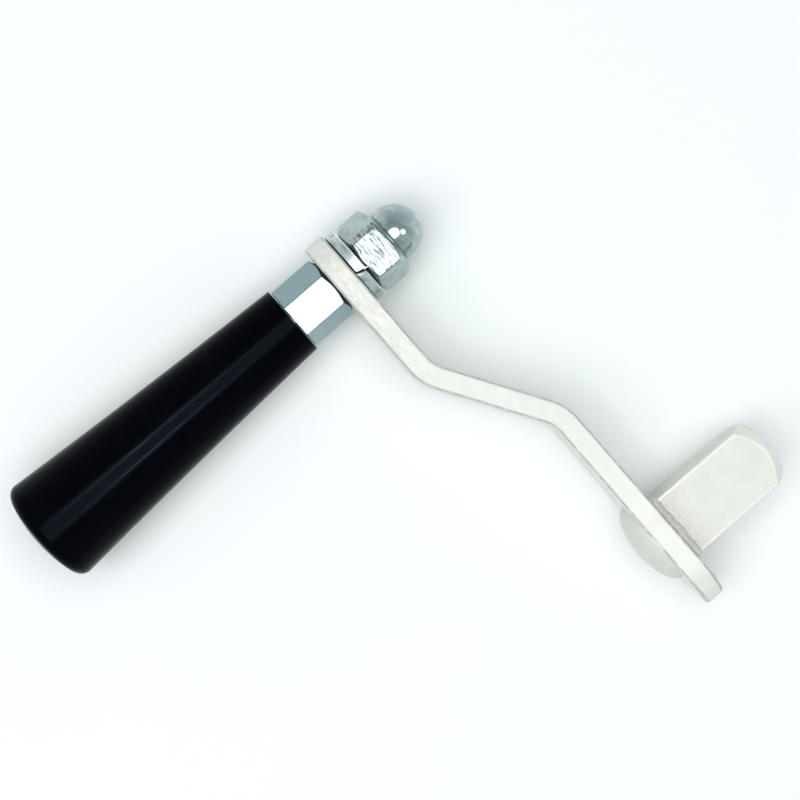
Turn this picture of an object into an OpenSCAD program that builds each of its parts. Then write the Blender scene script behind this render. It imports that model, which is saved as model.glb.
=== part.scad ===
// Crank handle for a window operator: a joggled flat-bar arm with a square drive
// shank riveted and welded to one end and a revolving grip bolted to the other.
//
// Frame: the origin is on the drive shank's axis, on the arm face that the shank
// stands on. +Y runs along the shank to its free end, the grip axis lies parallel
// to it at x = -throw, and +Z is up when the crank lies flat. All sizes are in mm.

/* [Arm] */
// Distance between the shank axis and the grip axis
throw = 85.3; // [75:0.1:105]
// Width of the flat bar
bar_w = 19.05; // [18.2:0.05:24]
// Thickness of the flat bar
bar_t = 4.76; // [3:0.02:6.5]
// Sideways step between the two end runs
jog = 15.4; // [11:0.1:19]
// Angle that the sloping run makes with the end runs
jog_angle = 32.1; // [26:0.1:40]
// Inside radius of the two bends
bend_r = 7.5; // [4:0.1:12]
// Grip axis to the corner of the first bend
lead = 27.2; // [22:0.1:30]
// Shank axis to the tip of the arm
tail = 17.3; // [14:0.1:24]

/* [Drive shank] */
// Width across the flats of the square shank
shank_af = 14.29; // [11:0.01:14.9]
// Length of the shank beyond the arm
shank_len = 26; // [20:0.1:36]
// Depth of the turned 45 degree chamfer at the middle of each flat
shank_chamfer = 0.85; // [0.2:0.05:1.5]
// Diameter of the turned tenon that passes through the arm
tenon_d = 11.1; // [8:0.1:12.5]
// Diameter of the riveted head on the back of the arm
head_d = 19; // [15:0.1:21]
// Height of the riveted head
head_h = 4; // [2:0.1:6]
// Leg length of the fillet weld over the flats that face the arm's edges
weld_leg = 2; // [1:0.1:2.1]
// Width of the weld on the arm beside the other two flats
weld_side_leg = 0.5; // [0.2:0.05:2]
// Depth to which the weld bites into the foot of the shank
weld_bite = 0.3; // [0.1:0.05:0.6]

/* [Handle bolt] */
// Width across the flats of the hexagonal shoulder
shoulder_af = 12.7; // [12:0.1:14]
// Length of the hexagonal shoulder
shoulder_len = 11.1; // [6:0.1:16]
// Diameter of the journal that the grip turns on
journal_d = 7.94; // [6.5:0.02:8.6]
// Major diameter of the threaded end
thread_d = 9.4; // [8:0.05:9.6]
// Turn of the hexagons about the grip axis
hex_turn = -10; // [-15:0.5:15]

/* [Lock washer and cap nut] */
// Outside diameter of the split lock washer
washer_d = 17.3; // [15.5:0.1:19]
// Thickness of the split lock washer
washer_t = 2.6; // [1.6:0.01:3.2]
// Width of the split
split_w = 0.6; // [0.3:0.1:1.5]
// Width across the flats of the cap nut
nut_af = 14.9; // [13.5:0.01:17]
// Height of the hexagonal part of the cap nut
nut_hex_h = 7.6; // [5:0.1:9]
// Diameter of the dome of the cap nut
dome_d = 12.3; // [11.5:0.1:13.4]
// Overall height of the cap nut
nut_h = 15.7; // [15:0.05:20]

/* [Grip] */
// Overall length of the grip with its crowned end
grip_len = 71; // [58:0.1:95]
// Diameter of the grip at the shoulder
grip_small_d = 15.9; // [14.6:0.1:18]
// Largest diameter of the grip
grip_big_d = 24; // [19.5:0.1:30]
// Share of the taper that gathers towards the large end
grip_flare = 0.2; // [0:0.05:0.5]
// Radius of the crowned end face
crown_r = 33; // [26:1:60]
// Radius of the corner between the flank and the crowned end
crown_corner = 2.2; // [1:0.1:3]

/* [Grip bearing] */
// Diameter of the pocket in the large end of the grip
pocket_d = 14.6; // [13.8:0.1:15.5]
// Depth of the pocket from the top of the crown
pocket_depth = 13; // [11.5:0.1:16]
// Outside diameter of the thrust washer
thrust_d = 13.2; // [11:0.1:13.4]
// Thickness of the thrust washer
thrust_t = 1; // [0.6:0.1:1.4]
// Outside diameter of the retaining ring
ring_d = 12.4; // [10:0.1:13]
// Thickness of the retaining ring
ring_t = 0.9; // [0.6:0.1:1.2]
// Depth of the retaining ring's groove
groove_depth = 0.8; // [0.4:0.05:1.1]
// Length of the bolt that stands past the retaining ring
bolt_past_ring = 1.5; // [1:0.1:2]
// Depth to which the end plug fills the pocket
plug_len = 5; // [4:0.1:6]
// Wall of the cup-shaped end plug
plug_wall = 1.8; // [1.2:0.1:2.4]

/* [Clearances] */
// Radial running clearance of the grip on the journal
run_clear = 0.05; // [0.02:0.01:0.1]
// End play at each end of the grip
end_play = 0.25; // [0.15:0.05:0.5]
// Radial clearance of the bolt in the arm and the washers
bolt_clear = 0.25; // [0.1:0.05:0.5]
// Radial clearance between the plain thread cylinders
thread_clear = 0.04; // [0.02:0.01:0.1]

/* [Hidden] */
$fn = 96;

// The path of the arm, from the grip end to the shank end
bend_mid_r = bend_r + bar_t / 2;
bend_reach = bend_mid_r * tan(jog_angle / 2);
bend_steps = 8;
first_bend_x = lead - bend_reach;
last_bend_x = lead + jog / tan(jog_angle) + bend_reach;

// The two faces of the arm, along Y on the grip axis
arm_front_y = -jog;
arm_back_y = arm_front_y - bar_t;
// Places on the grip axis, counted from the arm into the grip
grip_start = shoulder_len + end_play;
pocket_floor = grip_start + grip_len - pocket_depth;
ring_start = pocket_floor + end_play + thrust_t;
bolt_end = ring_start + ring_t + bolt_past_ring;

journal_bore_d = journal_d + 2 * run_clear;
groove_d = journal_d - 2 * groove_depth;
bolt_hole_d = thread_d + 2 * bolt_clear;
nut_bore_d = thread_d + 2 * thread_clear;
// The thread stops a little past the hexagon, and the nut's hole a little past the thread
bolt_past_hex = 0.5;
nut_hole_spare = 1;
thread_in_nut = nut_hex_h + bolt_past_hex;
nut_bore_depth = thread_in_nut + nut_hole_spare;

// Slope of the chamfers on the hexagons, and the turned face they leave
hex_chamfer_rise = tan(30);
hex_face_share = 0.92;
// How far a cutting shape runs past the surface that it cuts
past = 1;

// Radius of the grip's flank, where t is 0 at the shoulder and 1 at the corner
function flank_r(t) = grip_small_d / 2
    + (grip_big_d - grip_small_d) / 2 * ((1 - grip_flare) * t + grip_flare * t * t);

// Centre and end angle of the arc that joins the flank to the crown
crown_centre = grip_len - crown_r;
corner_r_pos = grip_big_d / 2 - crown_corner;
corner_y_pos = crown_centre + sqrt(pow(crown_r - crown_corner, 2) - pow(corner_r_pos, 2));
corner_angle = atan2(corner_y_pos - crown_centre, corner_r_pos);
flank_steps = 14;
corner_steps = 6;
crown_steps = 6;

// Colours of the zinc-plated fittings, the painted steel and the moulded grip
plated = [0.62, 0.68, 0.68];
paint = [0.93, 0.93, 0.89];
black = [0.05, 0.05, 0.06];

// Turns a shape drawn up the Z axis to point along +Y
module along_y() {
    rotate([-90, 0, 0]) children();
}

// Moves to the grip axis, where z = 0 is the arm's back face and +Z runs into the grip
module on_grip_axis() {
    translate([-throw, arm_back_y, 0]) rotate([90, 0, 0]) children();
}

// Moves to the grip axis, where z = 0 is the arm's front face and +Z runs into the nut
module on_nut_axis() {
    translate([-throw, arm_front_y, 0]) along_y() children();
}

// A hexagonal prism with turned chamfers, standing on z = 0 with a corner towards +X
module chamfered_hex(af, h, chamfer_far_end = true) {
    corner_r = af / 2 / cos(30);
    face_r = af / 2 * hex_face_share;
    cone_h = (corner_r - face_r) * hex_chamfer_rise;
    far_cone_h = chamfer_far_end ? cone_h : 0;
    intersection() {
        cylinder(r = corner_r, h = h, $fn = 6);
        rotate_extrude() polygon([
            [0, 0],
            [face_r, 0],
            [corner_r, cone_h],
            [corner_r, h - far_cone_h],
            [chamfer_far_end ? face_r : corner_r, h],
            [0, h]
        ]);
    }
}

// Points along one bend of the bar, at a distance r from the bend's centre
function bend_points(centre, r, from, to) = [
    for (i = [0 : bend_steps]) let (a = from + (to - from) * i / bend_steps)
        [centre.x + r * cos(a), centre.y + r * sin(a)]
];

// Edge of the bar's side view, where side is 1 for the front edge and -1 for the back
function arm_edge(side) = let (
        inner = bend_mid_r - side * bar_t / 2,
        outer = bend_mid_r + side * bar_t / 2,
        first_centre = [first_bend_x, bend_mid_r],
        second_centre = [last_bend_x, jog - bend_mid_r]
    ) concat(
        [[-bar_w / 2, side * bar_t / 2]],
        bend_points(first_centre, inner, -90, -90 + jog_angle),
        bend_points(second_centre, outer, 90 + jog_angle, 90),
        [[throw + tail, jog + side * bar_t / 2]]
    );

function reversed(list) = [for (i = [len(list) - 1 : -1 : 0]) list[i]];

// The bar's side view, from the grip end at x = 0 along its middle line
module arm_side_view() {
    polygon(concat(arm_edge(-1), reversed(arm_edge(1))));
}

// The bar's front view: a strip with full-round ends
module arm_front_view() {
    last_centre = throw + tail - bar_w / 2;
    circle(d = bar_w);
    translate([0, -bar_w / 2]) square([last_centre, bar_w]);
    translate([last_centre, 0]) circle(d = bar_w);
}

module arm() {
    color(paint) difference() {
        translate([-throw, arm_front_y - bar_t / 2, 0]) intersection() {
            translate([0, 0, -bar_w / 2 - past])
                linear_extrude(bar_w + 2 * past) arm_side_view();
            translate([0, -bar_t - past, 0]) along_y()
                linear_extrude(jog + 2 * bar_t + 2 * past) arm_front_view();
        }
        on_nut_axis() translate([0, 0, -bar_t - past])
            cylinder(d = bolt_hole_d, h = bar_t + 2 * past);
        translate([0, -bar_t - past, 0]) along_y()
            cylinder(d = tenon_d, h = bar_t + 2 * past);
    }
}

// A square bar round the Z axis, from one height to another
module square_bar(af, from, to) {
    translate([-af / 2, -af / 2, from]) cube([af, af, to - from]);
}

// Square shank with a turned chamfer on its end, its tenon and the riveted head
module drive_shank() {
    corner_d = shank_af * sqrt(2);
    end_d = shank_af - 2 * shank_chamfer;
    chamfer_h = (corner_d - end_d) / 2;
    head_steps = 10;
    color(paint) along_y() {
        square_bar(shank_af - 2 * weld_bite, 0, weld_leg);
        intersection() {
            square_bar(shank_af, weld_leg, shank_len);
            rotate_extrude() polygon([
                [0, 0],
                [corner_d / 2 + past, 0],
                [corner_d / 2 + past, shank_len - chamfer_h - past],
                [end_d / 2, shank_len],
                [0, shank_len]
            ]);
        }
        translate([0, 0, -bar_t]) cylinder(d = tenon_d, h = bar_t);
        translate([0, 0, -bar_t]) rotate_extrude() polygon([
            [0, 0],
            for (i = [0 : head_steps]) let (a = 90 * i / head_steps)
                [head_d / 2 * cos(a), -head_h * sin(a)]
        ]);
    }
}

// Fillet weld: a ring that bites into the shank's foot and leans on the arm, narrow on two sides
module shank_weld() {
    flat = shank_af / 2;
    corners = [[-1, -1], [1, -1], [1, 1], [-1, 1]];
    // The section's corners: distance to the narrow side, distance to the wide side, height
    section = [
        [flat - weld_bite, flat - weld_bite, 0],
        [flat + weld_side_leg, flat + weld_leg, 0],
        [flat, flat, weld_leg],
        [flat - weld_bite, flat - weld_bite, weld_leg]
    ];
    points = [for (p = section) for (c = corners) [c.x * p.x, c.y * p.y, p.z]];
    faces = [
        for (k = [0 : 3]) for (i = [0 : 3]) let (j = (i + 1) % 4, m = (k + 1) % 4)
            [4 * k + i, 4 * k + j, 4 * m + j, 4 * m + i]
    ];
    color(paint) along_y() polyhedron(points = points, faces = faces);
}

// Bolt that the grip turns on, from the grooved end of its journal to its threaded end
module handle_bolt() {
    thread_end = bar_t + washer_t + thread_in_nut;
    shoulder_middle = shoulder_len / 2;
    tip_chamfer = 0.8;
    color(plated) on_grip_axis() {
        rotate([0, 0, hex_turn]) chamfered_hex(shoulder_af, shoulder_len, false);
        rotate_extrude() polygon([
            [0, -thread_end],
            [thread_d / 2 - tip_chamfer, -thread_end],
            [thread_d / 2, -thread_end + tip_chamfer],
            [thread_d / 2, shoulder_middle],
            [journal_d / 2, shoulder_middle],
            [journal_d / 2, ring_start],
            [groove_d / 2, ring_start],
            [groove_d / 2, ring_start + ring_t],
            [journal_d / 2, ring_start + ring_t],
            [journal_d / 2, bolt_end - tip_chamfer],
            [journal_d / 2 - tip_chamfer, bolt_end],
            [0, bolt_end]
        ]);
    }
}

// Split lock washer, tightened flat, with its slanting split at the top
module lock_washer() {
    split_turn = 15;
    split_slant = 14;
    color(plated) on_nut_axis() difference() {
        cylinder(d = washer_d, h = washer_t);
        translate([0, 0, -past]) cylinder(d = bolt_hole_d, h = washer_t + 2 * past);
        rotate([0, 0, split_turn]) translate([0, -washer_d / 2, washer_t / 2])
            rotate([0, split_slant, 0])
                cube([split_w, washer_d, washer_t * 2], center = true);
    }
}

// Cap nut: chamfered hexagon and round dome over a blind hole
module cap_nut() {
    dome_centre = nut_h - dome_d / 2;
    color(plated) on_nut_axis() translate([0, 0, washer_t]) difference() {
        union() {
            rotate([0, 0, -hex_turn]) chamfered_hex(nut_af, nut_hex_h);
            cylinder(d = dome_d, h = dome_centre);
            translate([0, 0, dome_centre]) sphere(d = dome_d);
        }
        translate([0, 0, -past]) cylinder(d = nut_bore_d, h = nut_bore_depth + past);
    }
}

// Outline of the grip from the shoulder round to the top of the crown
function grip_outline() = [
    for (i = [0 : flank_steps - 1]) let (t = i / flank_steps)
        [flank_r(t), t * corner_y_pos],
    for (i = [0 : corner_steps]) let (a = corner_angle * i / corner_steps)
        [corner_r_pos + crown_corner * cos(a), corner_y_pos + crown_corner * sin(a)],
    for (i = [1 : crown_steps]) let (a = corner_angle + (90 - corner_angle) * i / crown_steps)
        [crown_r * cos(a), crown_centre + crown_r * sin(a)]
];

module grip_solid() {
    rotate_extrude() polygon([[0, 0], each grip_outline()]);
}

// Moulded grip, bored for the journal and counterbored in its large end
module grip_body() {
    color(black) on_grip_axis() translate([0, 0, grip_start]) difference() {
        grip_solid();
        translate([0, 0, -past]) cylinder(d = journal_bore_d, h = grip_len);
        translate([0, 0, grip_len - pocket_depth])
            cylinder(d = pocket_d, h = pocket_depth + past);
    }
}

// Cup-shaped plug that closes the pocket and carries the crown across it
module grip_end_plug() {
    color(black) on_grip_axis() translate([0, 0, grip_start]) difference() {
        intersection() {
            grip_solid();
            translate([0, 0, grip_len - plug_len])
                cylinder(d = pocket_d, h = plug_len + past);
        }
        translate([0, 0, grip_len - plug_len - past])
            cylinder(d = pocket_d - 2 * plug_wall, h = plug_len - plug_wall + past);
    }
}

// Hard washer that takes the pull of the grip inside the pocket
module thrust_washer() {
    color(plated) on_grip_axis() translate([0, 0, ring_start - thrust_t]) difference() {
        cylinder(d = thrust_d, h = thrust_t);
        translate([0, 0, -past]) cylinder(d = journal_bore_d, h = thrust_t + 2 * past);
    }
}

// Open retaining ring, sprung into the journal's groove
module retaining_ring() {
    mouth_w = groove_d * 0.8;
    color(plated) on_grip_axis() translate([0, 0, ring_start]) difference() {
        cylinder(d = ring_d, h = ring_t);
        translate([0, 0, -past]) cylinder(d = groove_d, h = ring_t + 2 * past);
        translate([-mouth_w / 2, 0, -past]) cube([mouth_w, ring_d, ring_t + 2 * past]);
    }
}

arm();
drive_shank();
shank_weld();
handle_bolt();
lock_washer();
cap_nut();
thrust_washer();
retaining_ring();
grip_body();
grip_end_plug();
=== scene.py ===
import logging
import math
from dataclasses import dataclass, field
from enum import Enum

import bmesh
import bpy
from mathutils import Matrix, Vector, noise


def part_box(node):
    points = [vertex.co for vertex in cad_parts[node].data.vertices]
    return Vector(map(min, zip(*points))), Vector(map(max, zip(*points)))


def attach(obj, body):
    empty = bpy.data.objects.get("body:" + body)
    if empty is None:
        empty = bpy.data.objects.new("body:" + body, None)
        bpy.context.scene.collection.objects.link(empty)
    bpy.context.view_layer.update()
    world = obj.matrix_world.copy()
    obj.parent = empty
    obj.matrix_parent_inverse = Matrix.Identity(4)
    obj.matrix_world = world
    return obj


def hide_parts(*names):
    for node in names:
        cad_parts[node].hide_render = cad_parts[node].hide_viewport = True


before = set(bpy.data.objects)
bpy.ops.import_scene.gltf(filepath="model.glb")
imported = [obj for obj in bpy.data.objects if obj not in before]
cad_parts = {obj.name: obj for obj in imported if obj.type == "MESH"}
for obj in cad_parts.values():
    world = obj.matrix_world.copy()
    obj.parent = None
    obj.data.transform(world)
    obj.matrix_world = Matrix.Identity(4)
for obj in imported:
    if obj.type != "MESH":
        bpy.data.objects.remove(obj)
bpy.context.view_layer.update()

LOG = logging.getLogger("crank_handle")
MM = 0.001
TURN = 2 * math.pi
QUARTER = TURN / 4
WELD_DISTANCE = 0.0005 * MM
HEX_CHAMFER = math.radians(30)
RIVET_STEPS = 20
EDGE_LAYER = "rounded_edge"

Profile = list[tuple[float, float]]
Colour = tuple[float, float, float]


class Body(Enum):
    """The rigid bodies that pieces ride on."""

    CRANK = "crank"
    GRIP = "grip"


class Slot(Enum):
    """The record's material slots that the pieces made here wear."""

    PAINT = "ivory_paint"
    ZINC = "zinc_plate"
    PHENOLIC = "black_phenolic"


class Cut(Enum):
    """How two closed shapes are combined."""

    JOIN = "UNION"
    REMOVE = "DIFFERENCE"
    KEEP_COMMON = "INTERSECT"


class Role(Enum):
    """What a lamp is for: it lights rough surfaces, or glossy ones mirror it."""

    LIGHTS = "lights"
    MIRRORED = "mirrored"


class Outline(Enum):
    """The outline of a lamp."""

    RECTANGLE = "RECTANGLE"
    DISC = "DISK"


# --------------------------------------------------------------------------- finishes


class Graph:
    """A material's node tree with short ways to add the nodes that the finishes share."""

    def __init__(self, name: str) -> None:
        """Starts a material with one Principled shader.

        Args:
            name: the material's name.
        """
        self.material = bpy.data.materials.new(name)
        self.material.use_nodes = True
        self.tree = self.material.node_tree
        self.shader = self.tree.nodes["Principled BSDF"]
        self.coords = self.tree.nodes.new("ShaderNodeTexCoord").outputs["Object"]

    def put(self, socket: bpy.types.NodeSocket, value: object) -> None:
        """Links a socket to another, or sets its value.

        Args:
            socket: the input that is filled.
            value: an output socket, a number or a colour.
        """
        if isinstance(value, bpy.types.NodeSocket):
            self.tree.links.new(value, socket)
        elif isinstance(value, tuple) and len(value) == 3 and socket.type == "RGBA":
            socket.default_value = (*value, 1.0)
        else:
            socket.default_value = value

    def set_shader(self, **values: object) -> None:
        """Fills the Principled shader's sockets.

        Args:
            values: socket names, with underscores for spaces, and what fills them.
        """
        for name, value in values.items():
            self.put(self.shader.inputs[name.replace("_", " ")], value)

    def stretched(self, scale: tuple[float, float, float]) -> bpy.types.NodeSocket:
        """The object coordinates, scaled along each axis.

        Args:
            scale: the factor along X, Y and Z.

        Returns:
            The scaled vector.
        """
        node = self.tree.nodes.new("ShaderNodeMapping")
        node.inputs["Scale"].default_value = scale
        self.put(node.inputs["Vector"], self.coords)
        return node.outputs["Vector"]

    def grain(self, size_mm: float, detail: float = 3.0, rough: float = 0.55,
              at: bpy.types.NodeSocket | None = None) -> bpy.types.NodeSocket:
        """Smooth noise.

        Args:
            size_mm: the size of its features.
            detail: how many finer layers it has.
            rough: how strong the finer layers are.
            at: the vector to read, or None for the object coordinates.

        Returns:
            The noise as a number from 0 to 1.
        """
        node = self.tree.nodes.new("ShaderNodeTexNoise")
        self.put(node.inputs["Vector"], at or self.coords)
        node.inputs["Scale"].default_value = 1.0 / (size_mm * MM)
        node.inputs["Detail"].default_value = detail
        node.inputs["Roughness"].default_value = rough
        return node.outputs["Fac"]

    def cells(self, size_mm: float, at: bpy.types.NodeSocket | None = None) -> bpy.types.NodeSocket:
        """Distance to the nearest of scattered points.

        Args:
            size_mm: the mean distance between the points.
            at: the vector to read, or None for the object coordinates.

        Returns:
            The distance as a share of the cell size.
        """
        node = self.tree.nodes.new("ShaderNodeTexVoronoi")
        self.put(node.inputs["Vector"], at or self.coords)
        node.inputs["Scale"].default_value = 1.0 / (size_mm * MM)
        return node.outputs["Distance"]

    def ease(self, value: bpy.types.NodeSocket, start: float, end: float,
             low: float = 0.0, high: float = 1.0) -> bpy.types.NodeSocket:
        """Maps a stretch of values smoothly onto another, held at both ends.

        Args:
            value: the number to map.
            start: where the stretch starts.
            end: where the stretch ends.
            low: the result at start.
            high: the result at end.

        Returns:
            The mapped number.
        """
        node = self.tree.nodes.new("ShaderNodeMapRange")
        node.interpolation_type = "SMOOTHSTEP"
        for name, number in (("From Min", start), ("From Max", end), ("To Min", low), ("To Max", high)):
            node.inputs[name].default_value = number
        self.put(node.inputs["Value"], value)
        return node.outputs["Result"]

    def maths(self, operation: str, a: object, b: object) -> bpy.types.NodeSocket:
        """One sum on two numbers.

        Args:
            operation: the Math node's operation, such as MULTIPLY.
            a: the first number or socket.
            b: the second number or socket.

        Returns:
            The result.
        """
        node = self.tree.nodes.new("ShaderNodeMath")
        node.operation = operation
        self.put(node.inputs[0], a)
        self.put(node.inputs[1], b)
        return node.outputs[0]

    def blend(self, share: object, a: object, b: object) -> bpy.types.NodeSocket:
        """A mix of two colours.

        Args:
            share: how much of b there is.
            a: the first colour.
            b: the second colour.

        Returns:
            The mixed colour.
        """
        node = self.tree.nodes.new("ShaderNodeMix")
        node.data_type = "RGBA"
        self.put(node.inputs["Factor"], share)
        self.put(node.inputs["A"], a)
        self.put(node.inputs["B"], b)
        return node.outputs["Result"]

    def along(self, axis: str) -> bpy.types.NodeSocket:
        """One of the object coordinates.

        Args:
            axis: X, Y or Z.

        Returns:
            The coordinate in metres.
        """
        node = self.tree.nodes.new("ShaderNodeSeparateXYZ")
        self.put(node.inputs["Vector"], self.coords)
        return node.outputs[axis]

    def from_axis(self, axis_x: float = 0.0) -> bpy.types.NodeSocket:
        """The distance from an axis that runs along Y.

        Args:
            axis_x: where the axis crosses the X axis, in metres.

        Returns:
            The distance in metres.
        """
        node = self.tree.nodes.new("ShaderNodeMapping")
        node.inputs["Location"].default_value = (-axis_x, 0.0, 0.0)
        node.inputs["Scale"].default_value = (1.0, 0.0, 1.0)
        self.put(node.inputs["Vector"], self.coords)
        length = self.tree.nodes.new("ShaderNodeVectorMath")
        length.operation = "LENGTH"
        self.put(length.inputs[0], node.outputs["Vector"])
        return length.outputs["Value"]

    def on_rounding(self) -> bpy.types.NodeSocket:
        """The marks that rounded edges carry in the mesh.

        Returns:
            1 on a marked rounding and 0 elsewhere.
        """
        node = self.tree.nodes.new("ShaderNodeAttribute")
        node.attribute_name = EDGE_LAYER
        return node.outputs["Fac"]

    def bump(self, height: bpy.types.NodeSocket, depth_mm: float, strength: float = 1.0,
             over: bpy.types.NodeSocket | None = None) -> bpy.types.NodeSocket:
        """A bumped normal.

        Args:
            height: the height from 0 to 1.
            depth_mm: the depth of the full height.
            strength: how much of it shows.
            over: a normal that it is laid over.

        Returns:
            The normal.
        """
        node = self.tree.nodes.new("ShaderNodeBump")
        node.inputs["Distance"].default_value = depth_mm * MM
        node.inputs["Strength"].default_value = strength
        self.put(node.inputs["Height"], height)
        if over is not None:
            self.put(node.inputs["Normal"], over)
        return node.outputs["Normal"]


@dataclass(frozen=True)
class PaintFinish:
    """Thick off-white paint, specked all over, brushed on near the cap nut."""

    name: str = "ivory_paint_finish"
    colour: Colour = (0.84, 0.86, 0.80)
    shade: Colour = (0.80, 0.815, 0.75)
    # painted shade: the arm's paint is darkened from near the shank towards the grip
    painted_shade: Colour = (0.765, 0.783, 0.728)
    cream: Colour = (0.62, 0.615, 0.50)
    fleck: Colour = (0.93, 0.93, 0.9)
    speck: Colour = (0.2, 0.185, 0.16)
    rough: float = 0.42
    streaks_from_x: float = 0.0
    streaks_length_mm: float = 34.0
    seat_r_mm: float = 7.9
    seat_edge_mm: float = 0.7
    # painted shade in the gaps round the bolt's seat
    painted_gap_shade: Colour = (0.12, 0.11, 0.1)
    # painted shade on the arm's rounded edges
    edge: Colour = (0.5, 0.5, 0.45)
    shade_from_x_mm: float = -5.0
    shade_to_x_mm: float = -28.0
    run_depth_mm: float = 0.05
    peel_depth_mm: float = 0.012
    gloss: float = 0.45

    def streaked(self, g: Graph, colour: bpy.types.NodeSocket) -> bpy.types.NodeSocket:
        """Lays the brush streaks and flecks over the paint near the cap nut.

        Args:
            g: the material's graph.
            colour: the paint's colour so far.

        Returns:
            The colour with the streaks.
        """
        length = self.streaks_length_mm * MM
        near_nut = g.ease(g.along("X"), self.streaks_from_x + length, self.streaks_from_x + 0.5 * length)
        brushed = g.stretched((0.3, 1.0, 1.0))
        streak = g.ease(g.grain(0.85, 4.0, 0.62, brushed), 0.5, 0.62)
        share = g.maths("MULTIPLY", g.maths("MULTIPLY", streak, near_nut), 0.42)
        colour = g.blend(share, colour, self.cream)
        fleck = g.ease(g.grain(0.9, 3.0, 0.6, brushed), 0.55, 0.68)
        return g.blend(g.maths("MULTIPLY", g.maths("MULTIPLY", fleck, near_nut), 0.7), colour, self.fleck)

    def dressed(self, g: Graph, colour: bpy.types.NodeSocket) -> bpy.types.NodeSocket:
        """What a piece has beyond the plain paint.

        The arm has its brush streaks, painted shade round the bolt's seat, painted shade on its rounded
        edges, and painted shade darkening it from near the shank towards the grip.

        Args:
            g: the material's graph.
            colour: the paint's colour so far.

        Returns:
            The colour of the finished paint.
        """
        # painted shade, darker from near the shank towards the grip
        painted_shade = g.ease(g.along("X"), self.shade_from_x_mm * MM, self.shade_to_x_mm * MM)
        colour = self.streaked(g, g.blend(painted_shade, colour, self.painted_shade))
        # painted shade round the bolt's seat, for the gaps at the hex shoulder and the washer
        seat = g.ease(g.from_axis(self.streaks_from_x), self.seat_r_mm * MM,
                      (self.seat_r_mm - self.seat_edge_mm) * MM)
        colour = g.blend(g.maths("MULTIPLY", seat, 0.85), colour, self.painted_gap_shade)
        # painted shade on the rounded edges, patchy
        patchy = g.ease(g.grain(2.2, 2.0), 0.3, 0.6, 0.45, 1.0)
        return g.blend(g.maths("MULTIPLY", g.on_rounding(), patchy), colour, self.edge)

    def material(self) -> bpy.types.Material:
        """Builds the paint.

        Returns:
            The material.
        """
        g = Graph(self.name)
        colour = g.blend(g.ease(g.grain(6.0), 0.35, 0.7), self.colour, self.shade)
        colour = self.dressed(g, colour)
        dots = g.ease(g.cells(2.3), 0.075, 0.045)
        some = g.ease(g.grain(5.0, 1.0), 0.5, 0.54)
        colour = g.blend(g.maths("MULTIPLY", g.maths("MULTIPLY", dots, some), 0.75), colour, self.speck)
        rough = g.ease(g.grain(1.8), 0.3, 0.75, self.rough - 0.06, self.rough + 0.1)
        runs = g.bump(g.grain(2.6, 2.0), self.run_depth_mm)
        peel = g.bump(g.grain(0.42, 2.0), self.peel_depth_mm, over=runs)
        g.set_shader(Base_Color=colour, Roughness=rough, Normal=peel, Specular_IOR_Level=self.gloss)
        return g.material


@dataclass(frozen=True)
class ShankPaintFinish(PaintFinish):
    """The same paint, with painted highlights along the shank's edges, painted shade on the head behind the
    arm, and stained round the weld.

    head_y, half_across and cone_sum are in metres. They keep their defaults, which lie off the
    piece, where it has no head, no edges or no turned chamfer.
    """

    name: str = "shank_paint_finish"
    colour: Colour = (0.75, 0.78, 0.705)
    shade: Colour = (0.71, 0.735, 0.66)
    # painted highlight along the shank's edges and the turned chamfer's edge
    edge: Colour = (0.93, 0.915, 0.84)
    stain: Colour = (0.56, 0.53, 0.49)
    # painted shade on the head behind the arm
    head: Colour = (0.665, 0.685, 0.62)
    head_y: float = -1.0
    stain_length_mm: float = 6.0
    ragged_mm: float = 3.5
    corner_mm: float = 0.7
    corner_fade_mm: float = 0.2
    half_across: float = 1.0
    cone_sum: float = 1.0

    def dressed(self, g: Graph, colour: bpy.types.NodeSocket) -> bpy.types.NodeSocket:
        """Stains the foot, paints shade on the head and paints highlights along the edges of the flats and
        of the turned chamfer.

        Args:
            g: the material's graph.
            colour: the paint's colour so far.

        Returns:
            The colour of the finished paint.
        """
        ragged = g.maths("MULTIPLY", g.grain(1.3, 4.0, 0.65), self.ragged_mm * MM)
        height = g.maths("SUBTRACT", g.along("Y"), ragged)
        foot = g.ease(height, self.stain_length_mm * MM, 0.0)
        blotch = g.ease(g.grain(0.6, 4.0, 0.6), 0.35, 0.62, 0.35, 0.8)
        share = g.maths("MULTIPLY", g.maths("MULTIPLY", foot, blotch), g.ease(height, -4.0 * MM, -3.0 * MM))
        colour = g.blend(share, colour, self.stain)
        # painted shade: the head behind the arm is darkened
        on_head = g.ease(g.along("Y"), self.head_y + 0.5 * MM, self.head_y, 0.0, 0.8)
        colour = g.blend(on_head, colour, self.head)
        # painted highlight: light lines along the flats' edges and round the turned chamfer's edge
        across = g.maths("MINIMUM", g.maths("ABSOLUTE", g.along("X"), 0.0),
                         g.maths("ABSOLUTE", g.along("Z"), 0.0))
        inside = self.half_across - self.corner_mm * MM
        corner = g.ease(across, inside, inside + self.corner_fade_mm * MM)
        cone = g.maths("ADD", g.along("Y"), g.from_axis())
        rise = g.ease(cone, self.cone_sum - 0.45 * MM, self.cone_sum - 0.25 * MM)
        fall = g.ease(cone, self.cone_sum + 0.3 * MM, self.cone_sum + 0.1 * MM)
        edges = g.maths("MAXIMUM", corner, g.maths("MULTIPLY", rise, fall))
        on_shank = g.ease(g.along("Y"), -1.0 * MM, 0.0, 0.0, 0.9)
        return g.blend(g.maths("MULTIPLY", edges, on_shank), colour, self.edge)


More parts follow.
